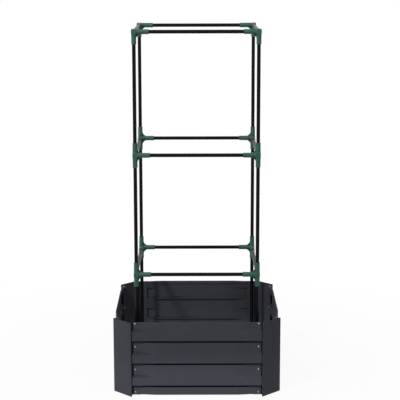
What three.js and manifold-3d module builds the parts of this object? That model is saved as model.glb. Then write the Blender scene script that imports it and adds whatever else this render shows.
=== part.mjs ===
// A square planter of ribbed steel sheet with a square tube trellis standing in it.
// Millimetres, +Z up. The origin is on the ground under the middle, and the front looks along -Y.
import * as THREE from "three";
import { mergeVertices } from "three/addons/utils/BufferGeometryUtils.js";
import Module from "manifold-3d";

const wasm = await Module();
wasm.setup();

// Planter, over the folds of its corner posts
const bedWidth = 600;
const bedDepth = 600;
const postHeight = 273; // ground to the rim
const cornerCut = 66.5; // from the planter's side in to a fold, on both sides of a corner
const returnDepth = 11; // from a fold back to the flange that the panels bolt to
const flangeLength = 34; // from a fold to the flange's edge
const flangeLift = 4.5; // the flanges stop this far above the ground
const postSheet = 1;
const postBend = 0.8; // inner radius of the post's bends

// Ribbed panels
const panelSheet = 0.8;
const panelInset = 3; // the bands lie this far behind the folds
const panelEndGap = 3.3; // between a panel's end and the post's return
const panelLift = 6; // lower edge above the ground
const panelRim = 273; // upper edge above the ground
const hemRadius = 1.3; // middle of the sheet in the rolled upper edge
const hemLeg = 11; // how far the rolled edge comes down inside
const hemClear = 2; // the rolled edge stops this short of the flanges
const grooveTop = 202; // height of the highest groove
const groovePitch = 82.5;
const grooveCount = 3;
const grooveMouth = 7;
const grooveFloor = 4.8;
const seatGap = 0.3; // between faces that touch

// Bolts at the panel ends
const boltTop = 267; // height of the highest bolt
const boltPitch = 84.5;
const boltCount = 4;
const boltFromFold = 13.6;
const boltRadius = 2.5;
const boltHole = 3.1;
const boltPastNut = 1;
const headRadius = 4.6;
const headTop = 3.2; // radius of the head's flat top
const headHeight = 2.7;
const nutAcross = 8;
const nutHeight = 4;
const seatBeside = 11; // flat pressed seat, from the bolt towards the panel's middle
const seatBelow = 20; // and down from the bolt
const seatStep = 9; // height of the step at the seat's lower side
const seatFade = 70; // how far the seat runs out along the band

// Trellis
const cageWidth = 432.3; // between post centres, left to right
const cageDepth = 432.3; // between post centres, front to back
const legRise = 429; // ground to the low bars
const tierRise = 431; // from one level of bars to the next
const tubeRadius = 6.5;
const tubeWall = 0.8;
const socketFit = 0.3; // round a tube in its socket
const socketWall = 2.1;
const socketDraft = 0.5; // the arms are this much thinner at the mouth
const socketFloor = 4.6; // plastic between crossing sockets
const barArm = 52; // reach of the arms that hold bars
const postArm = 43.5; // reach of the arms that hold posts
const gussetReach = 20; // past the arms' surface
const gussetHollow = 3.5; // how near its hollow edge is drawn to the arms
const gussetSink = 1; // its tips end this far inside the arms
const gussetThickness = 4;
const hubOverArm = 0.5; // the hub stands this much proud of the arms
const hubEdge = 1.8;
const tipPoint = 3.2; // radius of the blunt end on the ground
const tipCone = 20;
const tipSleeve = 22;
const tipWall = 1.3;

const facets = 10; // round the tubes, sockets and tips
const boltFacets = 6;
const bendSteps = 3; // flats in a bend of the posts and in a gusset's hollow edge
const hemSteps = 6; // flats in the rolled edge
const cutterSpare = 1; // cutters run this far past what they cut

const finishes = {
  slate: { color: 0x43454d, roughness: 0.62, metalness: 0.1 },
  tube: { color: 0x17181c, roughness: 0.38, metalness: 0 },
  connector: { color: 0x2b5b4c, roughness: 0.48, metalness: 0 },
};

const planter = new THREE.Group();
const trellis = new THREE.Group();

// Solids

function solidOf(geometry) {
  const bare = geometry.clone();
  bare.deleteAttribute("normal");
  bare.deleteAttribute("uv");
  const merged = mergeVertices(bare, 1e-4);
  const triVerts = merged.index
    ? new Uint32Array(merged.index.array)
    : Uint32Array.from({ length: merged.attributes.position.count }, (_, i) => i);
  const vertProperties = new Float32Array(merged.attributes.position.array);
  return new wasm.Manifold(new wasm.Mesh({ numProp: 3, vertProperties, triVerts }));
}

function geometryOf(solid) {
  const mesh = solid.getMesh();
  const geometry = new THREE.BufferGeometry();
  geometry.setAttribute("position", new THREE.BufferAttribute(mesh.vertProperties, 3));
  geometry.setIndex(new THREE.BufferAttribute(mesh.triVerts, 1));
  geometry.computeVertexNormals();
  return geometry;
}

function joined(geometries) {
  return geometries.map(solidOf).reduce((whole, next) => whole.add(next));
}

function cutBy(solid, geometries) {
  return geometries.map(solidOf).reduce((whole, next) => whole.subtract(next), solid);
}

function addPiece(group, name, geometry, finish, place = {}) {
  const mesh = new THREE.Mesh(geometry, new THREE.MeshStandardMaterial(finishes[finish]));
  mesh.name = name;
  mesh.position.set(place.x ?? 0, place.y ?? 0, place.z ?? 0);
  mesh.rotation.z = place.turn ?? 0;
  group.add(mesh);
}

// A round solid about the Y axis, from pairs of radius and height.
function turned(profile, segments) {
  return new THREE.LatheGeometry(profile.map(([r, h]) => new THREE.Vector2(r, h)), segments);
}

// Turns a solid that points along +Y to point along another axis.
const pointing = {
  "+x": (geometry) => geometry.rotateZ(-Math.PI / 2),
  "+y": (geometry) => geometry,
  "+z": (geometry) => geometry.rotateX(Math.PI / 2),
  "-z": (geometry) => geometry.rotateX(-Math.PI / 2),
};

// Sheet metal: a bent sheet is a path with rounded corners and one thickness

function bentPath(corners, radius, steps) {
  const path = [corners[0]];
  for (let i = 1; i < corners.length - 1; i++) {
    const into = corners[i].clone().sub(corners[i - 1]).normalize();
    const out = corners[i + 1].clone().sub(corners[i]).normalize();
    const turn = Math.atan2(into.cross(out), into.dot(out));
    const chord = 2 * radius * Math.sin(Math.abs(turn) / (2 * steps));
    const heading = Math.atan2(into.y, into.x);
    let point = corners[i].clone().addScaledVector(into, -radius * Math.tan(Math.abs(turn) / 2));
    path.push(point);
    for (let step = 0; step < steps; step++) {
      const angle = heading + ((step + 0.5) * turn) / steps;
      point = new THREE.Vector2(Math.cos(angle), Math.sin(angle)).multiplyScalar(chord).add(point);
      path.push(point);
    }
  }
  path.push(corners[corners.length - 1]);
  return path;
}

// The path moved sideways, to its left where the distance is positive, with mitred corners.
function besidePath(path, distance) {
  return path.map((point, i) => {
    const before = point.clone().sub(path[Math.max(i - 1, 0)]);
    const after = path[Math.min(i + 1, path.length - 1)].clone().sub(point);
    const into = (i > 0 ? before : after).clone().normalize();
    const out = (i < path.length - 1 ? after : before).clone().normalize();
    const along = into.clone().add(out).normalize();
    const reach = distance / along.dot(into);
    return new THREE.Vector2(point.x - along.y * reach, point.y + along.x * reach);
  });
}

// Bolts, pointing out along -Y from a flange whose outer face is at y = returnDepth

const pressDepth = returnDepth - panelInset - panelSheet - seatGap;
const boltHeights = Array.from({ length: boltCount }, (_, i) => boltTop - i * boltPitch).filter(
  (height) => height > panelLift + boltHole,
);
const boltInset = cornerCut + boltFromFold; // from the planter's side

function boltWithNut() {
  const headFoot = panelInset + pressDepth - seatGap;
  const headFace = headFoot - headHeight;
  const flangeBack = returnDepth + postSheet;
  const threadEnd = flangeBack + nutHeight + boltPastNut;
  const nutRadius = nutAcross / Math.sqrt(3);
  const nut = new THREE.CylinderGeometry(nutRadius, nutRadius, nutHeight, 6);
  nut.translate(0, flangeBack + nutHeight / 2, 0);
  const head = [[0, headFace], [headTop, headFace], [headRadius, headFoot]];
  const shank = [[boltRadius, headFoot], [boltRadius, threadEnd], [0, threadEnd]];
  return joined([turned([...head, ...shank], boltFacets), nut]);
}

// Corner posts: flange, return, 45 degree face, return, flange, standing in the planter's
// corner at (0, 0) with the planter towards +X and +Y

const bendMiddle = postBend + postSheet / 2;
const returnMiddle = cornerCut + bendMiddle;
const returnFace = returnMiddle + postSheet / 2;
const flangeMiddle = returnDepth + postSheet / 2;

function postSection() {
  const foldCorner = postSheet / 2 - Math.SQRT2 * bendMiddle; // brings the bent fold out to y = 0
  const corners = [
    new THREE.Vector2(cornerCut + flangeLength, flangeMiddle),
    new THREE.Vector2(returnMiddle, flangeMiddle),
    new THREE.Vector2(returnMiddle, foldCorner),
    new THREE.Vector2(foldCorner, returnMiddle),
    new THREE.Vector2(flangeMiddle, returnMiddle),
    new THREE.Vector2(flangeMiddle, cornerCut + flangeLength),
  ];
  const path = bentPath(corners, bendMiddle, bendSteps);
  const outline = besidePath(path, postSheet / 2);
  return new THREE.Shape([...outline, ...besidePath(path, -postSheet / 2).reverse()]);
}

// Boxes that cut the flanges off above the ground, from just past their bends.
function flangeFeet() {
  const start = returnMiddle + bendMiddle;
  const length = cornerCut + flangeLength + cutterSpare - start;
  const across = postSheet + 2 * cutterSpare;
  const along = start + length / 2;
  const height = flangeLift + cutterSpare;
  const up = height / 2 - cutterSpare;
  const onFront = new THREE.BoxGeometry(length, across, height).translate(along, flangeMiddle, up);
  const onSide = new THREE.BoxGeometry(across, length, height).translate(flangeMiddle, along, up);
  return [onFront, onSide];
}

function cornerPost() {
  const folded = new THREE.ExtrudeGeometry(postSection(), { depth: postHeight, bevelEnabled: false });
  const bolts = boltHeights.flatMap((height) => {
    const onFront = boltWithNut().translate([boltInset, 0, height]);
    const onSide = boltWithNut().rotate([0, 0, -90]).translate([0, boltInset, height]);
    return [onFront, onSide];
  });
  return geometryOf(bolts.reduce((whole, bolt) => whole.add(bolt), cutBy(solidOf(folded), flangeFeet())));
}

// Panels: one sheet with a rolled upper edge and pressed grooves, which is pressed back onto
// the flanges round its bolts. In its paths x is depth behind the bands and y is height

const panelEnd = returnFace + panelEndGap; // from the planter's side
const seatEnd = boltInset + seatBeside - panelEnd; // from the panel's end
const hemTop = panelRim - panelSheet / 2;
const hemFoot = hemTop - hemLeg;
const grooveHeights = Array.from({ length: grooveCount }, (_, i) => grooveTop - i * groovePitch).filter(
  (height) => height > panelLift + grooveMouth && height < hemFoot - grooveMouth,
);

function between(value, low, high) {
  return Math.min(Math.max((value - low) / (high - low), 0), 1);
}

function grooveDepth(height) {
  const off = Math.min(...grooveHeights.map((groove) => Math.abs(height - groove)));
  return pressDepth * (1 - between(off, grooveFloor / 2, grooveMouth / 2));
}

// Each seat runs from the groove above its bolt, or from the rim, down past the bolt.
function seatDepth(fromEnd, height) {
  const along = 1 - between(fromEnd, seatEnd, seatEnd + seatFade);
  const levels = boltHeights.map((bolt) => {
    const groove = Math.min(...grooveHeights.filter((level) => level > bolt));
    return height > groove ? 0 : between(height, bolt - seatBelow - seatStep, bolt - seatBelow);
  });
  return pressDepth * along * Math.max(0, ...levels);
}

function hemPath() {
  const bend = Array.from({ length: hemSteps + 1 }, (_, i) => {
    const angle = (i * Math.PI) / hemSteps;
    return new THREE.Vector2(1 + Math.cos(angle), Math.sin(angle) - 1).multiplyScalar(hemRadius);
  });
  bend.forEach((point) => point.add(new THREE.Vector2(0, hemTop)));
  return [new THREE.Vector2(2 * hemRadius, hemFoot), ...bend];
}

function wallHeights() {
  const grooves = grooveHeights.flatMap((height) =>
    [-grooveMouth, -grooveFloor, grooveFloor, grooveMouth].map((width) => height + width / 2),
  );
  const seats = boltHeights
    .flatMap((bolt) => [bolt - seatBelow, bolt - seatBelow - seatStep])
    .filter((height) => height > panelLift + panelSheet);
  return [...new Set([hemFoot, ...grooves, ...seats, panelLift])].sort((a, b) => b - a);
}

function panelPath(fromEnd) {
  const hem = hemPath().map(({ x, y }) => new THREE.Vector2(x + seatDepth(fromEnd, y), y));
  const wallDepth = (y) => Math.max(grooveDepth(y), seatDepth(fromEnd, y));
  return [...hem, ...wallHeights().map((y) => new THREE.Vector2(wallDepth(y), y))];
}

// A grid of stations along the panel by points down its path, on both faces of the sheet.
function panelSheetGeometry(halfLength) {
  const inner = [halfLength - seatEnd - seatFade, halfLength - seatEnd, halfLength];
  const stations = [...inner.map((x) => -x).reverse(), ...inner];
  const positions = [];
  stations.forEach((x) => {
    const path = panelPath(halfLength - Math.abs(x));
    [panelSheet / 2, -panelSheet / 2].forEach((side) => {
      besidePath(path, side).forEach((point) => {
        positions.push(x, panelInset + panelSheet / 2 + point.x, point.y);
      });
    });
  });
  const rows = panelPath(0).length;
  const ring = 2 * rows;
  // Vertices of one station run down the outer face and back up the inner one.
  const around = (station, k) => station * ring + (k < rows ? k : ring - 1 - (k - rows));
  const index = [];
  for (let s = 0; s < stations.length - 1; s++) {
    for (let k = 0; k < ring; k++) {
      const next = (k + 1) % ring;
      index.push(around(s, k), around(s + 1, next), around(s, next));
      index.push(around(s, k), around(s + 1, k), around(s + 1, next));
    }
  }
  const last = (stations.length - 1) * ring;
  for (let r = 0; r < rows - 1; r++) {
    const [a, b, c, d] = [r, r + 1, rows + r + 1, rows + r];
    index.push(a, b, c, a, c, d);
    index.push(last + a, last + c, last + b, last + a, last + d, last + c);
  }
  const geometry = new THREE.BufferGeometry();
  geometry.setAttribute("position", new THREE.Float32BufferAttribute(positions, 3));
  geometry.setIndex(index);
  return geometry;
}

function ribbedPanel(length) {
  const sheet = panelSheetGeometry(length / 2 - panelEnd);
  const holeDepth = 2 * (returnDepth + cutterSpare);
  const holes = boltHeights.flatMap((height) =>
    [-1, 1].map((side) => {
      const hole = new THREE.CylinderGeometry(boltHole, boltHole, holeDepth, boltFacets);
      return hole.translate(side * (length / 2 - boltInset), 0, height);
    }),
  );
  // The rolled edge is notched away where the sheet lies on the flanges.
  const notchLength = cornerCut + flangeLength + hemClear;
  const notchDepth = 2 * hemRadius + cutterSpare;
  const notches = [-1, 1].map((side) => {
    const notch = new THREE.BoxGeometry(notchLength, notchDepth, hemLeg + 2 * cutterSpare);
    const behind = returnDepth - seatGap + notchDepth / 2;
    return notch.translate((side * (length - notchLength)) / 2, behind, panelRim - hemLeg / 2);
  });
  return geometryOf(cutBy(solidOf(sheet), [...holes, ...notches]));
}

// Trellis: tubes and the moulded connectors that take their ends

const boreRadius = tubeRadius + socketFit;
const armRadius = boreRadius + socketWall;
const tubeStart = boreRadius + socketFloor + socketFit; // from a connector's centre to a tube's end

function tube(length) {
  const inside = tubeRadius - tubeWall;
  const wall = [[inside, 0], [tubeRadius, 0], [tubeRadius, length], [inside, length], [inside, 0]];
  return turned(wall, facets);
}

function socketArm(reach) {
  return turned([[0, 0], [armRadius, 0], [armRadius - socketDraft, reach], [0, reach]], facets);
}

function socketBore(reach) {
  const floor = boreRadius + socketFloor;
  const mouth = reach + cutterSpare;
  return turned([[0, floor], [boreRadius, floor], [boreRadius, mouth], [0, mouth]], facets);
}

// A thin web in the angle between two arms, with a hollow edge, in the XY plane.
function gusset() {
  const far = armRadius + gussetReach;
  const near = armRadius - gussetSink;
  const hollow = armRadius + gussetHollow;
  const shape = new THREE.Shape();
  shape.moveTo(0, 0);
  shape.lineTo(far, 0);
  shape.lineTo(far, near);
  shape.quadraticCurveTo(hollow, hollow, near, far);
  shape.lineTo(0, far);
  const settings = { depth: gussetThickness, bevelEnabled: false, curveSegments: bendSteps };
  return new THREE.ExtrudeGeometry(shape, settings).translate(0, 0, -gussetThickness / 2);
}

function hub() {
  const flat = armRadius + hubOverArm - hubEdge;
  const square = new THREE.Shape([
    new THREE.Vector2(-flat, -flat),
    new THREE.Vector2(flat, -flat),
    new THREE.Vector2(flat, flat),
    new THREE.Vector2(-flat, flat),
  ]);
  const bevel = { bevelThickness: hubEdge, bevelSize: hubEdge, bevelSegments: 1 };
  return new THREE.ExtrudeGeometry(square, { depth: 2 * flat, ...bevel }).translate(0, 0, -flat);
}

// Connector at the cage's front left: arms along +X and +Y for bars, down and maybe up for posts.
function connector(hasUpperPost) {
  const arms = [["+x", barArm], ["+y", barArm], ["-z", postArm]];
  const webs = [gusset(), gusset().rotateX(-Math.PI / 2), gusset().rotateY(Math.PI / 2)];
  if (hasUpperPost) {
    arms.push(["+z", postArm]);
    webs.push(gusset().rotateX(Math.PI / 2), gusset().rotateY(-Math.PI / 2));
  }
  const outside = arms.map(([axis, reach]) => pointing[axis](socketArm(reach)));
  const bores = arms.map(([axis, reach]) => pointing[axis](socketBore(reach)));
  return geometryOf(cutBy(joined([hub(), ...outside, ...webs]), bores));
}

// A closed plastic point that the foot of a leg sits in.
function legTip() {
  const outside = boreRadius + tipWall;
  const mouth = tipCone + tipSleeve;
  const point = [[0, 0], [tipPoint, 0], [outside, tipCone], [outside, mouth]];
  return turned([...point, [boreRadius, mouth], [boreRadius, tipCone], [0, tipCone]], facets);
}

// Assembly

const quarter = Math.PI / 2;
const sides = [
  { name: "front", length: bedWidth, x: 0, y: -bedDepth / 2, turn: 0 },
  { name: "right", length: bedDepth, x: bedWidth / 2, y: 0, turn: quarter },
  { name: "back", length: bedWidth, x: 0, y: bedDepth / 2, turn: 2 * quarter },
  { name: "left", length: bedDepth, x: -bedWidth / 2, y: 0, turn: 3 * quarter },
];
const corners = [
  { name: "front_left", x: -1, y: -1, turn: 0 },
  { name: "front_right", x: 1, y: -1, turn: quarter },
  { name: "back_right", x: 1, y: 1, turn: 2 * quarter },
  { name: "back_left", x: -1, y: 1, turn: 3 * quarter },
];

function cornerPlace(corner, width, depth, z = 0) {
  return { x: (corner.x * width) / 2, y: (corner.y * depth) / 2, z, turn: corner.turn };
}

sides.forEach((side) => addPiece(planter, `panel_${side.name}`, ribbedPanel(side.length), "slate", side));
corners.forEach((corner) => {
  const place = cornerPlace(corner, bedWidth, bedDepth);
  addPiece(planter, `corner_post_${corner.name}`, cornerPost(), "slate", place);
});

const levels = ["low", "middle", "top"].map((name, i) => ({ name, z: legRise + i * tierRise }));
const topLevel = levels[levels.length - 1];
const postNames = { low: "post_lower", middle: "post_upper" }; // by the level they stand on

levels.forEach((level) => {
  corners.forEach((corner) => {
    const place = cornerPlace(corner, cageWidth, cageDepth, level.z);
    const moulding = connector(level !== topLevel);
    addPiece(trellis, `connector_${level.name}_${corner.name}`, moulding, "connector", place);
    if (level === topLevel) return;
    const post = pointing["+z"](tube(tierRise - 2 * tubeStart));
    const postPlace = { ...place, z: level.z + tubeStart };
    addPiece(trellis, `${postNames[level.name]}_${corner.name}`, post, "tube", postPlace);
  });
  [["front", -1], ["back", 1]].forEach(([name, side]) => {
    const bar = pointing["+x"](tube(cageWidth - 2 * tubeStart));
    const place = { x: tubeStart - cageWidth / 2, y: (side * cageDepth) / 2, z: level.z };
    addPiece(trellis, `bar_${level.name}_${name}`, bar, "tube", place);
  });
  [["left", -1], ["right", 1]].forEach(([name, side]) => {
    const bar = pointing["+y"](tube(cageDepth - 2 * tubeStart));
    const place = { x: (side * cageWidth) / 2, y: tubeStart - cageDepth / 2, z: level.z };
    addPiece(trellis, `bar_${level.name}_${name}`, bar, "tube", place);
  });
});

corners.forEach((corner) => {
  const legFoot = tipCone + socketFit;
  const leg = pointing["+z"](tube(legRise - tubeStart - legFoot));
  addPiece(trellis, `leg_${corner.name}`, leg, "tube", cornerPlace(corner, cageWidth, cageDepth, legFoot));
  const tip = pointing["+z"](legTip());
  addPiece(trellis, `leg_tip_${corner.name}`, tip, "connector", cornerPlace(corner, cageWidth, cageDepth));
});

const model = new THREE.Group();
model.add(planter, trellis);
export default model;
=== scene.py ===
import math

import bmesh
import bpy
import numpy as np
from mathutils import Matrix, Vector


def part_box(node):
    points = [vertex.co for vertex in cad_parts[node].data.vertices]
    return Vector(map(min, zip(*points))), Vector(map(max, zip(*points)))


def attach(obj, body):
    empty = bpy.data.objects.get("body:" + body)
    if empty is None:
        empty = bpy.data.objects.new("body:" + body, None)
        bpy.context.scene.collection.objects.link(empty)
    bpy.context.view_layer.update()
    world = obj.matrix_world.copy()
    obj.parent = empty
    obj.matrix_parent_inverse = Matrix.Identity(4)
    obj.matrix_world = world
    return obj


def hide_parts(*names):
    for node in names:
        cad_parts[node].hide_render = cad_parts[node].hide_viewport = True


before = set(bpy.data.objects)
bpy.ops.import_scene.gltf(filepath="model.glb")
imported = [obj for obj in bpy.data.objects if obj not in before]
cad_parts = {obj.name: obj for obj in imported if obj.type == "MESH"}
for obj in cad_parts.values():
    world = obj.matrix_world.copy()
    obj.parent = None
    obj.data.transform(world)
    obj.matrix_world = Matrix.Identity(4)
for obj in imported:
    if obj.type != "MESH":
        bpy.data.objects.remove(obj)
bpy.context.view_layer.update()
mm = 0.001
print("frame loaded with", len(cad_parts), "nodes")


# Arrays to meshes


def rampBetween(value, low, high):
    # 0 below low, 1 above high, and an even S between them
    t = np.clip((np.asarray(value, float) - low) / (high - low), 0, 1)
    return t * t * (3 - 2 * t)


def gridFaces(rows, columns, closedRows=False, closedColumns=False, first=0):
    # the four corners of every cell in a grid of points, row after row
    i = np.arange(rows if closedRows else rows - 1)
    j = np.arange(columns if closedColumns else columns - 1)
    i, j = np.meshgrid(i, j, indexing="ij")
    down, right = (i + 1) % rows, (j + 1) % columns
    corners = [i * columns + j, down * columns + j, down * columns + right, i * columns + right]
    return first + np.stack(corners, axis=-1).reshape(-1, 4)


def slab(surface, thickness):
    # a sheet: the grid of points moved half the thickness both ways along its normals,
    # and closed along its four edges
    across = np.gradient(surface, axis=0)
    along = np.gradient(surface, axis=1)
    normal = np.cross(across, along)
    normal /= np.linalg.norm(normal, axis=-1, keepdims=True)
    rows, columns = surface.shape[:2]
    front = (surface - normal * thickness / 2).reshape(-1, 3)
    back = (surface + normal * thickness / 2).reshape(-1, 3)
    count = rows * columns
    faces = [gridFaces(rows, columns)[:, ::-1], gridFaces(rows, columns, first=count)]
    index = np.arange(count).reshape(rows, columns)
    rim = np.concatenate([index[0, :-1], index[:-1, -1], index[-1, :0:-1], index[:0:-1, 0]])
    after = np.roll(rim, -1)
    faces.append(np.stack([rim, after, after + count, rim + count], axis=-1))
    return np.concatenate([front, back]), np.concatenate(faces)


def ringAngles(segments):
    return np.arange(segments) * 2 * math.pi / segments


def ringsOf(profile, segments):
    # the points of a profile of (radius, height) turned about +Z, ring after ring
    profile = np.asarray(profile, float)
    angle = ringAngles(segments)
    ring = np.stack([np.cos(angle), np.sin(angle), np.zeros(segments)], axis=-1)
    points = profile[:, None, :1] * ring + profile[:, None, 1:] * np.array([0, 0, 1.0])
    return points.reshape(-1, 3)


def turned(profile, segments, centre=(0, 0, 0)):
    # a round solid about +Z: rings of (radius, height), the first and last closed by a point
    points = ringsOf(profile, segments)
    faces = list(gridFaces(len(profile), segments, closedColumns=True)[:, ::-1])
    low, high = len(points), len(points) + 1
    last = (len(profile) - 1) * segments
    nextOne = np.roll(np.arange(segments), -1)
    faces += [(low, nextOne[k], k) for k in range(segments)]
    faces += [(high, last + k, last + nextOne[k]) for k in range(segments)]
    ends = np.array([[0, 0, profile[0][1]], [0, 0, profile[-1][1]]])
    return np.concatenate([points, ends]) + np.asarray(centre), faces


def ringSolid(profile, segments):
    # a round solid with a bore: a closed loop of (radius, height) turned about +Z
    return ringsOf(profile, segments), gridFaces(len(profile), segments, True, True)[:, ::-1]


def joinedArrays(parts):
    # several solids as one list of points and one of faces
    points, faces, first = [], [], 0
    for partPoints, partFaces in parts:
        points.append(np.asarray(partPoints))
        faces += [tuple(int(k) + first for k in face) for face in partFaces]
        first += len(partPoints)
    return np.concatenate(points), faces


def turnAbout(points, degrees, axis="Z"):
    turn = np.array(Matrix.Rotation(math.radians(degrees), 3, axis))
    return points @ turn.T


def solidMesh(name, points, faces, mergeWithin=0):
    # doubles merged where a distance is given, and every face pointing outwards
    mesh = bpy.data.meshes.new(name)
    faces = [tuple(int(k) for k in face) for face in faces]
    mesh.from_pydata(np.asarray(points).tolist(), [], faces)
    shape = bmesh.new()
    shape.from_mesh(mesh)
    if mergeWithin:
        bmesh.ops.remove_doubles(shape, verts=shape.verts, dist=mergeWithin)
    bmesh.ops.recalc_face_normals(shape, faces=shape.faces)
    shape.to_mesh(mesh)
    shape.free()
    return mesh


def addObject(name, data):
    added = bpy.data.objects.new(name, data)
    bpy.context.scene.collection.objects.link(added)
    return added


def addPiece(name, mesh, material, sharpAbove):
    # shaded smooth, but for the edges where the faces turn by more than the angle
    mesh.shade_smooth()
    mesh.set_sharp_from_angle(angle=math.radians(sharpAbove))
    mesh.materials.clear()
    mesh.materials.append(material)
    return addObject(name, mesh)


def newPiece(name, points, faces, material, sharpAbove=35):
    # from worked-out points and faces
    return addPiece(name, solidMesh(name, points, faces), material, sharpAbove)


def camelName(first, words):
    # connector and low_front_left make connectorLowFrontLeft
    return first + words.title().replace("_", "")


def fit(piece, body, slot, *nodes):
    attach(piece, body)
    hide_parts(*nodes)


# Shaders


class Socket:
    # an output of a node, so that shader sums read as plain Python

    def __init__(self, tree, output):
        self.tree = tree
        self.output = output

    def node(self, kind, settings=None, values=None, output=0):
        return addNode(self.tree, kind, settings, values, output)

    def math(self, operation, first, second=0.0):
        return self.node("ShaderNodeMath", {"operation": operation}, {0: first, 1: second})

    def __add__(self, other):
        return self.math("ADD", self, other)

    def __sub__(self, other):
        return self.math("SUBTRACT", self, other)

    def __rsub__(self, other):
        return self.math("SUBTRACT", other, self)

    def __mul__(self, other):
        return self.math("MULTIPLY", self, other)

    __radd__ = __add__
    __rmul__ = __mul__

    def __abs__(self):
        return self.math("ABSOLUTE", self)

    def lesser(self, other):
        return self.math("MINIMUM", self, other)

    def greater(self, other):
        return self.math("MAXIMUM", self, other)

    def between(self, low, high):
        # 0 where this is low, 1 where it is high, eased at both ends
        limits = {"Value": self, "From Min": low, "From Max": high}
        return self.node("ShaderNodeMapRange", {"interpolation_type": "SMOOTHSTEP"}, limits)

    def tint(self, first, second):
        # the first colour where this is 0 and the second where it is 1
        colours = {"Factor": self, 6: first, 7: second}
        return self.node("ShaderNodeMix", {"data_type": "RGBA"}, colours, 2)


def addNode(tree, kind, settings=None, values=None, output=0):
    node = tree.nodes.new(kind)
    for name, value in (settings or {}).items():
        setattr(node, name, value)
    for name, value in (values or {}).items():
        if isinstance(value, Socket):
            tree.links.new(value.output, node.inputs[name])
        else:
            node.inputs[name].default_value = value
    return Socket(tree, node.outputs[output])


def colour(red, green, blue):
    # a display colour from 0 to 255, as the shader's linear one
    display = np.array([red, green, blue]) / 255
    linear = np.where(display <= 0.04045, display / 12.92, ((display + 0.055) / 1.055) ** 2.4)
    return (*linear.tolist(), 1.0)


def newMaterial(name):
    material = bpy.data.materials.new(name)
    material.use_nodes = True
    tree = material.node_tree
    coords = addNode(tree, "ShaderNodeTexCoord", output=3)
    return material, tree.nodes["Principled BSDF"], coords


def noise(coords, size, detail=2.0, roughness=0.5):
    # soft random values from 0 to 1, with spots about as wide as the size in metres
    values = {"Vector": coords, "Scale": 1 / size, "Detail": detail, "Roughness": roughness}
    return coords.node("ShaderNodeTexNoise", {}, values)


def axesOf(vector):
    split = vector.node("ShaderNodeSeparateXYZ", {}, {"Vector": vector})
    return [Socket(vector.tree, output) for output in split.output.node.outputs]


def inOrder(first, second):
    # the lesser and the greater of two values
    return first.lesser(second), first.greater(second)


def bumpFrom(height, depth):
    values = {"Strength": 1.0, "Distance": depth, "Height": height}
    return height.node("ShaderNodeBump", {}, values)


def surfaceOf(shader, constants, links):
    for name, value in constants.items():
        shader.inputs[name].default_value = value
    for name, value in links.items():
        value.tree.links.new(value.output, shader.inputs[name])


def toned(finish, broad, fine):
    # from the deep colour to the light one, by the broad noise's share and the fine one's rest
    mix = broad * finish["broadShare"] + fine * (1 - finish["broadShare"])
    return mix.tint(colour(*finish["deep"]), colour(*finish["light"]))


def paintSurface(shader, finish, tone, broad, fine):
    # an even roughness and more of it with either noise, and a bump from the fine one
    even, withBroad, withFine = finish["rough"]
    rough = even + broad * withBroad + fine * withFine
    links = {"Base Color": tone, "Roughness": rough, "Normal": bumpFrom(fine, finish["depth"])}
    surfaceOf(shader, {"Specular IOR Level": finish["specular"]}, links)


slateCoat = {
    "deep": (46, 47, 53),
    "light": (54, 55, 62),
    "patch": 0.07,
    "broadShare": 0.7,
    "speckle": 0.0009,
    "pale": (72, 75, 84),  # painted light: paler lower down, as though more light reached the sheet near the floor
    "paleBelow": (0.06, 0.18),
    "palePanels": 0.45,
    "palePosts": 0.2,
    "dust": (92, 90, 86),
    "dustBelow": 0.05,
    "dustPatch": 0.012,
    "dustWhere": (0.5, 0.75),  # of its noise
    "dustAmount": 0.12,
    # painted shade, and dirt on the panels' ledges
    "grime": (9, 10, 17),
    "peel": 0.0016,
    "depth": 0.00004,
    "rough": (0.5, 0.08, 0.06),
    "specular": 0.12,
}
# painted shade on the panels, and dirt with more painted shade on their ledges
panelShadeAndDirt = {
    "sideStep": 0.02,  # about zero, where the masks of the sides change
    "grooves": (0.202, 0.1195, 0.037),
    "half": 0.0026,
    "fade": 0.0016,
    "amount": 0.95,
    "ledges": (0.36, 0.7),  # at the right ends and at the left ones
    "ledgeRise": (0.12, 0.5),  # of the normal
    "cleanAbove": (0.25, 0.26),
    "hollow": 0.48,
    "hollowsAt": (0.2455, 0.161, 0.0765),
    "hollowFade": (0.001, 0.007),
    "hollowEnds": (0.165, 0.222),
    "ends": (0.2235, 0.2285),
    "seats": (0.2905, 0.2945),
    "endAmount": 0.75,
}
# painted shade in the slits beside the panels' ends
postPaintedShade = {"strip": 0.2265, "face": 0.2358, "fold": 0.2997, "fade": 0.002, "amount": 0.9}


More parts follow.
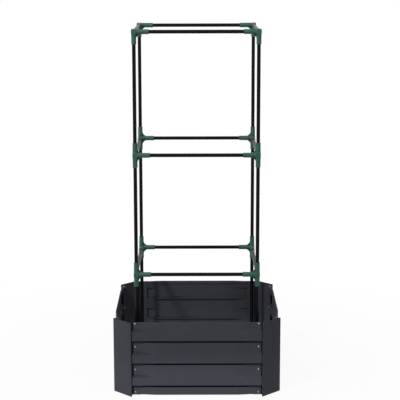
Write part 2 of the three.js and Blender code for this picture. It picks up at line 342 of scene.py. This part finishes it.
def panelPaintedShadeAndDirt(coords):
    # painted shade in the grooves on the outer side, and thinner dirt with painted shade wherever
    # the sheet makes a ledge, more of it towards the left ends
    x, y, z = axesOf(coords)
    normalX, normalY, normalZ = axesOf(coords.node("ShaderNodeNewGeometry", output=1))
    step = panelShadeAndDirt["sideStep"]
    outside = (x * normalX + y * normalY).between(-step, step)
    leftHalf = (x * normalY - y * normalX).between(-step, step)
    near, far = inOrder(abs(x), abs(y))
    least, most = panelShadeAndDirt["ledges"]
    # dirt on the ledges, with painted shade making it heavier towards the left ends
    darkening = normalZ.between(*panelShadeAndDirt["ledgeRise"]) * (1 - z.between(*panelShadeAndDirt["cleanAbove"]))
    darkening = darkening * (least + leftHalf * (most - least))
    half, fade = panelShadeAndDirt["half"], panelShadeAndDirt["fade"]
    # painted shade in each groove
    for groove in panelShadeAndDirt["grooves"]:
        inGroove = 1 - abs(z - groove).between(half, half + fade)
        darkening = darkening.greater(inGroove * outside * panelShadeAndDirt["amount"])
    # painted shadow at the seats' left ends, beside the folds
    end = near.between(*panelShadeAndDirt["ends"]) * (1 - far.between(*panelShadeAndDirt["seats"]))
    darkening = darkening.greater(end * leftHalf * panelShadeAndDirt["endAmount"])
    # painted shade in the hollow above each ledge, towards the panel's left end
    along = near.between(*panelShadeAndDirt["hollowEnds"]) * outside * leftHalf * panelShadeAndDirt["hollow"]
    for hollow in panelShadeAndDirt["hollowsAt"]:
        inHollow = 1 - abs(z - hollow).between(*panelShadeAndDirt["hollowFade"])
        darkening = darkening.greater(inHollow * along)
    return darkening


def slitPaintedShade(coords):
    # painted shade on the returns and the flanges' inner strips, behind the folds beside the
    # panels' ends
    x, y = axesOf(coords)[:2]
    near, far = inOrder(abs(x), abs(y))
    fade = postPaintedShade["fade"]
    strip = near.between(postPaintedShade["strip"], postPaintedShade["strip"] + fade)
    strip = strip * (1 - near.between(postPaintedShade["face"], postPaintedShade["face"] + fade))
    behind = 1 - far.between(postPaintedShade["fold"] - fade, postPaintedShade["fold"])
    return strip * behind * postPaintedShade["amount"]


def makeSlateCoat(name, shadeAndDirtOf, paintedLightAmount):
    # patchy slate, a little dusty lower down, with painted light making it paler lower down, and
    # painted shade and dirt over it
    material, shader, coords = newMaterial(name)
    patches = noise(coords, slateCoat["patch"], detail=3)
    speckle = noise(coords, slateCoat["speckle"], detail=1)
    peel = noise(coords, slateCoat["peel"], detail=2, roughness=0.6)
    dusty = noise(coords, slateCoat["dustPatch"], detail=4, roughness=0.65)
    height = axesOf(coords)[2]
    coat = toned(slateCoat, patches, speckle)
    # painted light: paler towards the bottom
    pale = (1 - height.between(*slateCoat["paleBelow"])) * paintedLightAmount
    coat = pale.tint(coat, colour(*slateCoat["pale"]))
    low = 1 - height.between(0.0, slateCoat["dustBelow"])
    dust = low * dusty.between(*slateCoat["dustWhere"]) * slateCoat["dustAmount"]
    coat = dust.tint(coat, colour(*slateCoat["dust"]))
    # painted shade, with dirt on the panels' ledges, laid over the coat
    coat = shadeAndDirtOf(coords).tint(coat, colour(*slateCoat["grime"]))
    paintSurface(shader, slateCoat, coat, patches, peel)
    return material


tubeCoat = {
    "deep": (9, 9, 11),
    "light": (17, 17, 19),
    "patch": 0.03,
    "broadShare": 0.6,
    "grain": 0.003,
    "depth": 0.000003,
    "rough": (0.24, 0.1, 0.04),
    "specular": 0.06,
}


def makeTubeCoat():
    material, shader, coords = newMaterial("tubeCoat")
    patches = noise(coords, tubeCoat["patch"], detail=3)
    grain = noise(coords, tubeCoat["grain"], detail=2)
    paintSurface(shader, tubeCoat, toned(tubeCoat, patches, grain), patches, grain)
    return material


connectorPlastic = {
    "deep": (25, 60, 49),
    "light": (37, 79, 66),
    # painted shade on the webs, between the arms
    "recess": (13, 34, 29),
    "recessAmount": 0.6,
    "axis": 0.21615,  # of the posts, from the middle
    "levels": (0.429, 0.86, 1.291),
    "socketSide": (0.0086, 0.0105),  # from an arm's plane, where the webs begin
    "flow": 0.018,
    "flowStretch": (1, 1, 0.4),
    "broadShare": 0.75,
    "grain": 0.0009,
    "depth": 0.00001,
    "rough": (0.4, 0.1, 0.08),
    "specular": 0.28,
}


def webMask(coords):
    # 1 on the webs, where the middle one of the distances to the three arms' planes
    # is past the sockets' sides
    x, y, z = axesOf(coords)
    fromX = abs(abs(x) - connectorPlastic["axis"])
    fromY = abs(abs(y) - connectorPlastic["axis"])
    fromZ = abs(z - connectorPlastic["levels"][0])
    for level in connectorPlastic["levels"][1:]:
        fromZ = fromZ.lesser(abs(z - level))
    smaller, larger = inOrder(fromX, fromY)
    middle = smaller.greater(larger.lesser(fromZ))
    return middle.between(*connectorPlastic["socketSide"])


def makeConnectorPlastic():
    material, shader, coords = newMaterial("connectorPlastic")
    mapping = {"Vector": coords, "Scale": connectorPlastic["flowStretch"]}
    stretched = coords.node("ShaderNodeMapping", {}, mapping)
    flow = noise(stretched, connectorPlastic["flow"], detail=4, roughness=0.6)
    grain = noise(coords, connectorPlastic["grain"], detail=2)
    plastic = toned(connectorPlastic, flow, grain)
    # painted shade on the webs, which stand back between the arms
    recess = webMask(coords) * connectorPlastic["recessAmount"]
    plastic = recess.tint(plastic, colour(*connectorPlastic["recess"]))
    paintSurface(shader, connectorPlastic, plastic, flow, grain)
    return material


zincPlate = {
    "deep": (104, 105, 110),
    "light": (140, 141, 147),
    "spangle": 0.0012,
    "depth": 0.00002,
    "rough": (0.26, 0.2),
}


def makeZincPlate():
    material, shader, coords = newMaterial("zincPlate")
    spangle = noise(coords, zincPlate["spangle"], detail=3, roughness=0.6)
    plate = spangle.tint(colour(*zincPlate["deep"]), colour(*zincPlate["light"]))
    even, withSpangle = zincPlate["rough"]
    rough = even + spangle * withSpangle
    bump = bumpFrom(spangle, zincPlate["depth"])
    links = {"Base Color": plate, "Roughness": rough, "Normal": bump}
    surfaceOf(shader, {"Metallic": 1.0}, links)
    return material


panelSlate = makeSlateCoat("panelSlateCoat", panelPaintedShadeAndDirt, slateCoat["palePanels"])
postSlate = makeSlateCoat("postSlateCoat", slitPaintedShade, slateCoat["palePosts"])
black = makeTubeCoat()
green = makeConnectorPlastic()
zinc = makeZincPlate()
print("materials made")


# Ribbed panels

panel = {
    "sheet": 0.8 * mm,
    "inset": 3 * mm,  # of the bands behind the folds
    "press": 6.9 * mm,  # depth of the grooves and of the seats
    "grooves": [202 * mm, 119.5 * mm, 37 * mm],
    "mouth": 7 * mm,
    "floor": 4.8 * mm,
    "grooveBend": 0.9 * mm,
    "bendSteps": 7,
    "bolts": [267 * mm, 182.5 * mm, 98 * mm, 13.5 * mm],
    "boltInset": 80.1 * mm,  # from the planter's side
    "seatBeside": 11 * mm,
    "seatBelow": 20 * mm,
    "seatStep": 9 * mm,
    "seatFade": 70 * mm,
    "bandReach": 2.6 * mm,  # that the bands' ends stand past the seats'
    "bandEnd": 8 * mm,  # over which they reach out
    "hemRadius": 1.3 * mm,
    "hemLeg": 11 * mm,
    "notch": 102.5 * mm,  # the rolled edge starts this far from the planter's side
    "notchStep": 0.1 * mm,
    "rowPitch": 6 * mm,
    "rowFromGroove": 1 * mm,
    "rowFromEdge": 0.2 * mm,
    "stepRows": 11,
    "fadeColumns": 36,
    "seatColumns": 9,
    "middleColumns": 13,
    "topRows": 8,
    "hemSteps": 13,
    "legRows": 6,
}

boxLow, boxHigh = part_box("corner_post_front_left")[0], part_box("corner_post_back_right")[1]
halfWidth = (boxHigh[0] - boxLow[0]) / 2
halfDepth = (boxHigh[1] - boxLow[1]) / 2
panelLow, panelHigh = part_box("panel_front")


def roundedPath(corners, radius, steps):
    # a line through the corners, with each one rounded by an arc of the radius
    path = [corners[0]]
    for before, corner, after in zip(corners, corners[1:], corners[2:]):
        into = (corner - before) / np.linalg.norm(corner - before)
        out = (after - corner) / np.linalg.norm(after - corner)
        turn = math.atan2(into[0] * out[1] - into[1] * out[0], into @ out)
        start = corner - into * radius * math.tan(abs(turn) / 2)
        side = np.array([-into[1], into[0]]) * math.copysign(1, turn)
        angles = np.linspace(0, abs(turn), steps)[:, None]
        path += list(start + radius * (np.sin(angles) * into + (1 - np.cos(angles)) * side))
    path.append(corners[-1])
    return np.array(path)


def groovePath(low, high):
    # up the wall as (height, depth): flat bands, and grooves with rounded lips and floors
    deep, mouth, floor = panel["press"], panel["mouth"] / 2, panel["floor"] / 2
    corners = [(low, 0)]
    for groove in sorted(panel["grooves"]):
        corners += [(groove - mouth, 0), (groove - floor, deep)]
        corners += [(groove + floor, deep), (groove + mouth, 0)]
    path = roundedPath(np.array(corners + [(high, 0)]), panel["grooveBend"], panel["bendSteps"])
    # more rows on the flats: even ones, and close ones up the step below each bolt
    flats = [np.arange(low, high, panel["rowPitch"])]
    for boltHeight in panel["bolts"]:
        stepTop = boltHeight - panel["seatBelow"]
        flats.append(np.linspace(stepTop - panel["seatStep"], stepTop, panel["stepRows"]))
    flats = np.concatenate(flats)
    offGroove = np.min([np.abs(flats - groove) for groove in panel["grooves"]], axis=0)
    offEdge = np.minimum(flats - low, high - flats)
    clear = (offGroove > mouth + panel["rowFromGroove"]) & (offEdge > panel["rowFromEdge"])
    rows = np.concatenate([path, np.column_stack([flats[clear], np.zeros(clear.sum())])])
    return rows[np.argsort(rows[:, 0], kind="stable")]


def seatDepth(x, height, seatEnd):
    # pressed back round each bolt: an S along the band times an S up the step below the bolt
    along = 1 - rampBetween(seatEnd - np.abs(x), 0, panel["seatFade"])
    depth = np.zeros(np.broadcast(x, height).shape)
    for boltHeight in panel["bolts"]:
        ceiling = min([groove for groove in panel["grooves"] if groove > boltHeight], default=1.0)
        stepTop = boltHeight - panel["seatBelow"]
        below = rampBetween(height, stepTop - panel["seatStep"], stepTop)
        depth = np.maximum(depth, np.where(height <= ceiling, below, 0) * along)
    return panel["press"] * depth


def makePanel(name, half, centreOut, degrees):
    # half is from the panel's middle to its neighbours' sides of the planter, and centreOut
    # from the planter's middle to the panel's own side
    end = float(panelHigh[0] - panelLow[0]) / 2 + half - halfWidth
    seatEnd = half - panel["boltInset"] - panel["seatBeside"]
    notch = half - panel["notch"]
    fade = np.linspace(seatEnd - panel["seatFade"], seatEnd, panel["fadeColumns"])
    seat = np.linspace(seatEnd, end, panel["seatColumns"])[1:]
    step = [notch - panel["notchStep"], notch + panel["notchStep"]]
    right = np.unique(np.round(np.concatenate([fade, seat, step]), 6))
    between = np.linspace(-right[0], right[0], panel["middleColumns"])[1:-1]
    x = np.concatenate([-right[::-1], between, right])
    sheet, radius = panel["sheet"], panel["hemRadius"]
    rim = float(panelHigh[2])
    bendStart = rim - sheet / 2 - radius
    hemFoot = rim - sheet / 2 - panel["hemLeg"]
    middle = -centreOut + panel["inset"] + sheet / 2

    def surface(x, back, height):
        # the middle of the sheet: along the panel and out at its ends, back by the pressing, and up
        flatness = np.clip(1 - back / panel["press"], 0, 1)
        proud = flatness * rampBetween(np.abs(x), end - panel["bandEnd"], end)
        across = x + np.sign(x) * panel["bandReach"] * proud
        return np.stack(np.broadcast_arrays(across, middle + back, height), axis=-1)

    x = x[None, :]
    rows = groovePath(float(panelLow[2]), hemFoot)
    lower, grooves = np.repeat(rows[:, :1], x.size, axis=1), rows[:, 1:]
    top = np.linspace(0, 1, panel["topRows"])[1:, None]
    rimAt = np.where(np.abs(x) > notch, rim, bendStart)
    heights = np.concatenate([lower, hemFoot + top * (rimAt - hemFoot)])
    grooves = np.concatenate([grooves, np.zeros_like(top)])
    pressed = np.maximum(grooves, seatDepth(x, heights, seatEnd))
    wall = slab(surface(x, pressed, heights), sheet)

    # the rolled edge: half a turn back over the rim, and a leg down
    inside = x[np.abs(x) < notch][None, :]
    angle = np.linspace(0, math.pi, panel["hemSteps"])[:, None]
    leg = np.linspace(bendStart, hemFoot, panel["legRows"])[1:, None]
    offsets = np.concatenate([radius * (1 - np.cos(angle)), np.full_like(leg, 2 * radius)])
    hemHeights = np.concatenate([bendStart + radius * np.sin(angle), leg])
    pressed = seatDepth(inside, hemHeights, seatEnd)
    hem = slab(surface(inside, offsets + pressed, hemHeights), sheet)

    points, faces = joinedArrays([wall, hem])
    piece = newPiece(f"{name}Panel", turnAbout(points, degrees), faces, panelSlate)
    fit(piece, "planter_box", "slate_powder_coat", f"panel_{name}")


sides = {"front": 0, "right": 90, "back": 180, "left": 270}
for name, degrees in sides.items():
    facesDepth = degrees % 180 == 0
    half, centreOut = (halfWidth, halfDepth) if facesDepth else (halfDepth, halfWidth)
    makePanel(name, half, centreOut, degrees)
print("panels made")


# Corner posts, with their bolts and nuts

post = {
    "sheet": 1 * mm,
    "bend": 1.3 * mm,  # radius to the middle of the sheet
    "cut": 65.2 * mm,
    "returnDepth": 11 * mm,
    "flange": 35.3 * mm,
    "flangeLift": 4.5 * mm,
    "bendSteps": 9,
    "pastBend": 0.05 * mm,
    "rows": 10,
    "sharpAbove": 35,
}
bolt = {
    "headFoot": 9.6 * mm,  # behind the folds
    "headRadius": 4.6 * mm,
    "headHeight": 2.7 * mm,
    "headRings": 18,
    "innerRing": 0.06,  # of the head's radius
    "domeFall": 0.75,  # of the head's height
    "domePower": 4,
    "shank": 2.4 * mm,
    "end": 17 * mm,
    "recess": 2.3 * mm,
    "recessWidth": 0.75 * mm,
    "recessDepth": 1.3 * mm,
    "recessEdge": (0.6, 0.8),  # where its sides and its ends begin to rise
    "nutFace": 12.05 * mm,
    "nutAcross": 8 * mm,
    "nutHeight": 4 * mm,
    "nutBevel": 0.48 * mm,
    "nutCorner": 1.04,  # of half the width across the flats
    "nutBore": 2.5 * mm,
    "segments": 48,
    "sharpAbove": 30,
}
corners = {"front_left": 0, "front_right": 90, "back_right": 180, "back_left": 270}


def postPath():
    # the middle of the sheet seen from above, from the planter's corner
    sheet, bend = post["sheet"], post["bend"]
    flangeLine = post["returnDepth"] + sheet / 2
    returnLine = post["cut"] + bend
    fold = sheet / 2 - math.sqrt(2) * bend
    reach = post["cut"] + post["flange"]
    corners = [
        (reach, flangeLine),
        (returnLine, flangeLine),
        (returnLine, fold),
        (fold, returnLine),
        (flangeLine, returnLine),
        (flangeLine, reach),
    ]
    path = roundedPath(np.array(corners), bend, post["bendSteps"])
    pastBend = returnLine + bend + post["pastBend"]
    first, last = [(pastBend, flangeLine)], [(flangeLine, pastBend)]
    return np.concatenate([path[:1], first, path[1:-1], last, path[-1:]])


def makeHead():
    # a pan head about +Z with a cross recess: a dome by height over radius, less the recess
    segments, rings, full = bolt["segments"], bolt["headRings"], bolt["headRadius"]
    radius = np.linspace(bolt["innerRing"], 1, rings)[:, None] * full
    angle = ringAngles(segments)[None, :]
    x, y = radius * np.cos(angle), radius * np.sin(angle)
    dome = bolt["headHeight"] * (1 - (radius / full) ** bolt["domePower"] * bolt["domeFall"])
    nearLine = np.minimum(np.abs(x), np.abs(y))
    farAlong = np.maximum(np.abs(x), np.abs(y))
    width, reach = bolt["recessWidth"], bolt["recess"]
    sideEdge, endEdge = bolt["recessEdge"]
    cut = 1 - rampBetween(nearLine, width * sideEdge, width)
    cut = cut * (1 - rampBetween(farAlong, reach * endEdge, reach))
    height = dome - cut * bolt["recessDepth"]
    top = np.stack([x, y, height], axis=-1)[::-1]
    rim = top[0] * [1, 1, 0]
    shank = rim * bolt["shank"] / full
    tail = shank - [0, 0, bolt["end"] - bolt["headFoot"]]
    points = np.concatenate([tail, shank, rim, top.reshape(-1, 3)])
    count = rings + 3
    faces = list(gridFaces(count, segments, closedColumns=True)[:, ::-1])
    faces.append(tuple(range(segments)))
    faces.append(tuple(range((count - 1) * segments, count * segments))[::-1])
    return points, faces


def makeNut():
    # a hexagon with a bore, its corners rounded off at both ends
    segments = bolt["segments"]
    angle = ringAngles(segments)
    flat = bolt["nutAcross"] / 2
    sector = (angle + math.pi / 6) % (math.pi / 3) - math.pi / 6
    hexagon = flat / np.cos(sector)
    rounded = np.minimum(hexagon, flat * bolt["nutCorner"])
    bore = np.full(segments, bolt["nutBore"])
    height, bevel = bolt["nutHeight"], bolt["nutBevel"]
    rings = [
        (rounded, 0),
        (hexagon, bevel),
        (hexagon, height - bevel),
        (rounded, height),
        (bore, height),
        (bore, 0),
    ]
    flatRing = [np.cos(angle), np.sin(angle)]
    points = [np.stack([*(r * flatRing), np.full(segments, z)], axis=-1) for r, z in rings]
    return np.concatenate(points), gridFaces(len(rings), segments, True, True)[:, ::-1]


def makePost(name, degrees):
    path = postPath()
    low, high = float(boxLow[2]), float(boxHigh[2])
    onFlange = path.max(axis=1) > post["cut"] + 2 * post["bend"]
    foot = np.where(onFlange, low + post["flangeLift"], low)
    share = np.linspace(0, 1, post["rows"])[:, None]
    grid = np.zeros((len(share), len(path), 3))
    grid[:, :, :2] = path[None]
    grid[:, :, 2] = foot + share * (high - foot)
    points, faces = slab(grid, post["sheet"])

    # a bolt and a nut at each height on both flanges, the nuts facing inwards
    bolts, nuts = [], []
    shapes = [(makeHead(), bolt["headFoot"], 1, bolts), (makeNut(), bolt["nutFace"], -1, nuts)]
    for height in panel["bolts"]:
        for toSide in (False, True):
            along = [0, panel["boltInset"], height] if toSide else [panel["boltInset"], 0, height]
            for (shapePoints, shapeFaces), out, facing, group in shapes:
                placed = turnAbout(shapePoints * [1, 1, facing], 90, "X") + [0, out, 0]
                placed = turnAbout(placed, -90) if toSide else placed
                group.append((placed + along, shapeFaces))

    facesDepth = degrees % 180 == 0
    corner = [halfWidth, halfDepth, 0] if facesDepth else [halfDepth, halfWidth, 0]
    groups = [
        ("cornerPost", (points, faces), "slate_powder_coat", postSlate, post["sharpAbove"]),
        ("bolts", joinedArrays(bolts), "zinc_bolt", zinc, bolt["sharpAbove"]),
        ("nuts", joinedArrays(nuts), "zinc_bolt", zinc, bolt["sharpAbove"]),
    ]
    for label, (points, faces), slot, material, sharpAbove in groups:
        points = turnAbout(points - np.array(corner), degrees)
        piece = newPiece(camelName(label, name), points, faces, material, sharpAbove)
        fit(piece, "planter_box", slot, f"corner_post_{name}")


for name, degrees in corners.items():
    makePost(name, degrees)
print("corner posts, bolts and nuts made")


# Tubes of the trellis

tube = {"wall": 0.8 * mm, "segments": 40, "chamfer": 0.25 * mm}


def makeTube(node):
    # as long and as wide as its node, with both ends chamfered outside
    low, high = (np.array(corner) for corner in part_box(node))
    size = high - low
    axis = int(np.argmax(size))
    radius = np.delete(size, axis).max() / 2
    length, chamfer = size[axis], tube["chamfer"]
    inside = radius - tube["wall"]
    profile = [
        (radius - chamfer, 0),
        (radius, chamfer),
        (radius, length - chamfer),
        (radius - chamfer, length),
        (inside, length),
        (inside, 0),
    ]
    points, faces = ringSolid(profile, tube["segments"])
    if axis < 2:
        points = turnAbout(points, 90, "Y")
    if axis == 1:
        points = turnAbout(points, 90)
    middle = (low + high) / 2
    points += middle - (points.min(axis=0) + points.max(axis=0)) / 2
    name = camelName(*node.split("_", 1)) + "Tube"
    fit(newPiece(name, points, faces, black), "trellis", "black_tube", node)


tubeKinds = ("bar", "post", "leg")
tubeNodes = [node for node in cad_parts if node.split("_")[0] in tubeKinds]
tubeNodes = [node for node in tubeNodes if "tip" not in node]
for node in tubeNodes:
    makeTube(node)
print("tubes made:", len(tubeNodes))


# Moulded connectors

connector = {
    "bore": 6.8 * mm,
    "boreSegments": 48,
    "borePast": 2 * mm,
    "arm": 8.9 * mm,
    "armFoot": 0.9,  # of the arm's radius, within the hub
    "armSegments": 64,
    "draft": 0.5 * mm,
    "barArm": 52 * mm,
    "postArm": 43.5 * mm,
    # the collar: what it adds to the radius, and how far from the socket's mouth
    "collar": [(0.1 * mm, 6 * mm), (0.25 * mm, 5.2 * mm), (0.25 * mm, 0.5 * mm), (-0.3 * mm, 0)],
    "floor": 4.6 * mm,
    "hub": 9.3 * mm,  # half the hub's side
    "hubRound": 2.2 * mm,
    "hubSteps": 9,
    "web": 2.2 * mm,
    "webReach": 20 * mm,
    "webSunk": 1.5 * mm,  # into the sockets' sides
    "webSteps": 17,
    "lip": 4 * mm,
    "lipDepth": 1.6 * mm,
    "merge": 0.01 * mm,
    "voxel": 0.55 * mm,
    "smooth": 6,
    "sharpAbove": 40,
}
connectorArms = {"x": (90, "Y"), "y": (-90, "X"), "down": (180, "X"), "up": (0, "Z")}


def armSolid(reach):
    # a tapering socket about +Z with a slight collar at its mouth
    arm, thin = connector["arm"], connector["arm"] - connector["draft"]
    profile = [(arm * connector["armFoot"], 0), (arm, 0.1 * mm)]
    profile += [(thin + more, reach - back) for more, back in connector["collar"]]
    return turned(profile, connector["armSegments"])


def extruded(outline, half):
    # a flat outline given a thickness along Z
    outline = np.asarray(outline)
    count = len(outline)
    below = np.column_stack([outline, np.full(count, -half)])
    above = np.column_stack([outline, np.full(count, half)])
    faces = [tuple(range(count))[::-1], tuple(range(count, 2 * count))]
    faces += [(k, (k + 1) % count, (k + 1) % count + count, k + count) for k in range(count)]
    return np.concatenate([below, above]), faces


def webPair():
    # a thin web and the thicker lip that runs along its hollow edge
    radius = connector["webReach"] + connector["webSunk"]
    angle = np.linspace(0, math.pi / 2, connector["webSteps"])
    unit = np.stack([np.sin(angle), np.cos(angle)], axis=-1)
    centre = connector["arm"] - connector["webSunk"] + radius
    edge = centre - radius * unit
    inner = centre - (radius + connector["lipDepth"]) * unit
    web = np.concatenate([edge, [(0, edge[-1, 1]), (0, 0), (edge[0, 0], 0)]])
    lip = np.concatenate([edge, inner[::-1]])
    return [extruded(web, connector["web"] / 2), extruded(lip, connector["lip"] / 2)]


def hubSolid():
    # a cube whose edges and corners are rounded: points of a cube pulled onto a rounded shell
    half, rounding, count = connector["hub"], connector["hubRound"], connector["hubSteps"]
    steps = np.linspace(-1, 1, count)
    u, v = np.meshgrid(steps, steps, indexing="ij")
    flat = np.ones_like(u)
    core = half - rounding
    parts = []
    for axis in range(3):
        for sign in (-1, 1):
            cube = np.stack(np.roll([flat * sign, u, v * sign], axis, axis=0), axis=-1) * half
            inner = np.clip(cube, -core, core)
            away = cube - inner
            length = np.maximum(np.linalg.norm(away, axis=-1, keepdims=True), 1e-9)
            shell = inner + away / length * rounding
            parts.append((shell.reshape(-1, 3), gridFaces(count, count)))
    return joinedArrays(parts)


def mergedMesh(name, parts):
    return solidMesh(name, *joinedArrays(parts), connector["merge"])


def finished(mesh, modifiers):
    # the mesh after its modifiers
    helper = addObject("helper", mesh)
    for kind, settings in modifiers:
        modifier = helper.modifiers.new(kind, kind)
        for name, value in settings.items():
            setattr(modifier, name, value)
    evaluated = helper.evaluated_get(bpy.context.evaluated_depsgraph_get())
    result = bpy.data.meshes.new_from_object(evaluated)
    bpy.data.objects.remove(helper)
    return result


def connectorMesh(hasUpperPost):
    # hub, sockets and webs run together into one skin, and the sockets bored
    reaches = {"x": connector["barArm"], "y": connector["barArm"], "down": connector["postArm"]}
    webTurns = [(0, "Z"), (-90, "X"), (90, "Y")]
    if hasUpperPost:
        reaches["up"] = connector["postArm"]
        webTurns += [(90, "X"), (-90, "Y")]
    parts, bores = [hubSolid()], []
    radius, start = connector["bore"], connector["bore"] + connector["floor"]
    for arm, reach in reaches.items():
        points, faces = armSolid(reach)
        parts.append((turnAbout(points, *connectorArms[arm]), faces))
        ends = [(radius, start), (radius, reach + connector["borePast"])]
        points, faces = turned(ends, connector["boreSegments"])
        bores.append((turnAbout(points, *connectorArms[arm]), faces))
    for turn in webTurns:
        parts += [(turnAbout(points, *turn), faces) for points, faces in webPair()]
    remesh = {"mode": "VOXEL", "voxel_size": connector["voxel"], "use_smooth_shade": True}
    smooth = {"factor": 0.5, "iterations": connector["smooth"]}
    body = finished(mergedMesh("connector", parts), [("REMESH", remesh), ("SMOOTH", smooth)])
    cutter = addObject("cutter", mergedMesh("cutter", bores))
    cut = {"operation": "DIFFERENCE", "object": cutter, "solver": "EXACT"}
    body = finished(body, [("BOOLEAN", cut)])
    bpy.data.objects.remove(cutter)
    print("connector has", len(body.polygons), "faces")
    return body


def placeConnector(mesh, level, corner, degrees):
    # where the corner's leg and the level's bar cross
    postLow, postHigh = (np.array(point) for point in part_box(f"leg_{corner}"))
    barLow, barHigh = (np.array(point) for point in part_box(f"bar_{level}_front"))
    centre = (postLow + postHigh) / 2
    centre[2] = (barLow[2] + barHigh[2]) / 2
    copy = mesh.copy()
    turn = Matrix.Rotation(math.radians(degrees), 4, "Z")
    copy.transform(Matrix.Translation(Vector(centre)) @ turn)
    name = camelName("connector", f"{level}_{corner}")
    piece = addPiece(name, copy, green, connector["sharpAbove"])
    fit(piece, "trellis", "green_connector", f"connector_{level}_{corner}")


fourWay, threeWay = connectorMesh(True), connectorMesh(False)
for level in ("low", "middle", "top"):
    for corner, degrees in corners.items():
        placeConnector(threeWay if level == "top" else fourWay, level, corner, degrees)
print("connectors made")


# Tips of the legs

tip = {
    "point": 3.2 * mm,
    "cone": 20 * mm,
    "wall": 1.3 * mm,
    "bore": 6.8 * mm,
    "round": 0.6 * mm,
    "coneIn": 0.3 * mm,  # at the foot of the cup
    "mouthIn": 0.4 * mm,
    "innerRing": 0.2 * mm,
    "segments": 40,
}


def makeTip(corner):
    # a blunt cone below, and a cup above it for the tube
    low, high = (np.array(point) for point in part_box(f"leg_tip_{corner}"))
    height = high[2] - low[2]
    outside, edge = tip["bore"] + tip["wall"], tip["round"]
    profile = [
        (tip["innerRing"], 0),
        (tip["point"] - edge, 0),
        (tip["point"], edge),
        (outside - tip["coneIn"], tip["cone"] - edge),
        (outside, tip["cone"] + edge),
        (outside, height - edge),
        (outside - tip["mouthIn"], height),
        (tip["bore"], height),
        (tip["bore"], tip["cone"]),
        (tip["innerRing"], tip["cone"]),
    ]
    centre = (low + high) / 2
    points, faces = turned(profile, tip["segments"], (centre[0], centre[1], low[2]))
    name = camelName("legTip", corner)
    fit(newPiece(name, points, faces, green), "trellis", "green_connector", f"leg_tip_{corner}")


for corner in corners:
    makeTip(corner)
print("leg tips made")


# Floor, light and camera

stage = {
    "size": 30.0,
    "shadowInside": 0.45,
    "whiteOutside": 1.6,
    "shadowShare": 0.06,
    "grey": 0.5,
    "rough": 0.9,
}
studio = {
    "world": 0.6,
    "lampPlace": (-2.05, -2.44, 3.85),
    "lampAim": (0, 0, 0.3),
    "lampSize": 0.5,
    "lampWatts": 207,
}
photoView = {
    "focal": 1254.4,  # pixels of the 400 pixel frame
    "imageSize": 400,
    "sensor": 36,  # mm
    "centreShift": 3.32,  # pixels that the object stands left of the frame's middle
    "place": (0, -4.5717, 1.5379),
    "tiltDown": 0.19006,
    "roll": -0.00205,
}


def raysSeen(tree):
    # 1 for the rays that come from the camera, straight or by way of metal or glass
    path = addNode(tree, "ShaderNodeLightPath").output.node
    kinds = ("Camera", "Glossy", "Transmission")
    straight, glossy, clear = (Socket(tree, path.outputs[f"Is {kind} Ray"]) for kind in kinds)
    return (straight + glossy + clear).lesser(1.0)


def makeFloor():
    # white where it is seen, a little greyer round the object, and grey as light finds it
    half = stage["size"] / 2
    mesh = bpy.data.meshes.new("floor")
    corners = [(-half, -half, 0), (half, -half, 0), (half, half, 0), (-half, half, 0)]
    mesh.from_pydata(corners, [], [(0, 1, 2, 3)])
    floor = addObject("floor", mesh)
    material, shader, coords = newMaterial("paleFloor")
    tree = material.node_tree
    grey = (stage["grey"], stage["grey"], stage["grey"], 1)
    matt = {"Base Color": grey, "Roughness": stage["rough"], "Specular IOR Level": 0.0}
    surfaceOf(shader, matt, {})
    away = coords.node("ShaderNodeVectorMath", {"operation": "LENGTH"}, {0: coords}, 1)
    close = 1 - away.between(stage["shadowInside"], stage["whiteOutside"])
    white = raysSeen(tree) * (1 - stage["shadowShare"] * close)
    glow = addNode(tree, "ShaderNodeEmission", {}, {"Color": (1, 1, 1, 1), "Strength": 1.0})
    plain = Socket(tree, shader.outputs["BSDF"])
    mix = addNode(tree, "ShaderNodeMixShader", {}, {0: white, 1: plain, 2: glow})
    tree.links.new(mix.output, tree.nodes["Material Output"].inputs["Surface"])
    mesh.materials.append(material)


def makeWorld():
    # white where it is seen, and an even level as light
    world = bpy.data.worlds.new("studio")
    bpy.context.scene.world = world
    world.use_nodes = True
    tree = world.node_tree
    tree.nodes.clear()
    strength = studio["world"] + raysSeen(tree) * (1 - studio["world"])
    values = {"Color": (1, 1, 1, 1), "Strength": strength}
    background = addNode(tree, "ShaderNodeBackground", {}, values)
    output = tree.nodes.new("ShaderNodeOutputWorld")
    tree.links.new(background.output, output.inputs["Surface"])


def makeKeyLamp():
    light = bpy.data.lights.new("keyLamp", "AREA")
    light.shape = "RECTANGLE"
    light.size = light.size_y = studio["lampSize"]
    light.energy = studio["lampWatts"]
    lamp = addObject("keyLamp", light)
    lamp.location = studio["lampPlace"]
    towards = Vector(studio["lampAim"]) - Vector(studio["lampPlace"])
    lamp.rotation_euler = towards.to_track_quat("-Z", "Y").to_euler()


def makeCamera():
    data = bpy.data.cameras.new("photoCamera")
    data.sensor_fit = "HORIZONTAL"
    data.sensor_width = photoView["sensor"]
    data.lens = photoView["sensor"] * photoView["focal"] / photoView["imageSize"]
    data.shift_x = photoView["centreShift"] / photoView["imageSize"]
    camera = addObject("photoCamera", data)
    tilt = Matrix.Rotation(math.pi / 2 - photoView["tiltDown"], 4, "X")
    roll = Matrix.Rotation(photoView["roll"], 4, "Z")
    camera.matrix_world = Matrix.Translation(photoView["place"]) @ tilt @ roll
    bpy.context.scene.camera = camera


makeFloor()
makeWorld()
makeKeyLamp()
makeCamera()
bpy.context.scene.view_settings.view_transform = "Standard"
print("stage, light and camera made")
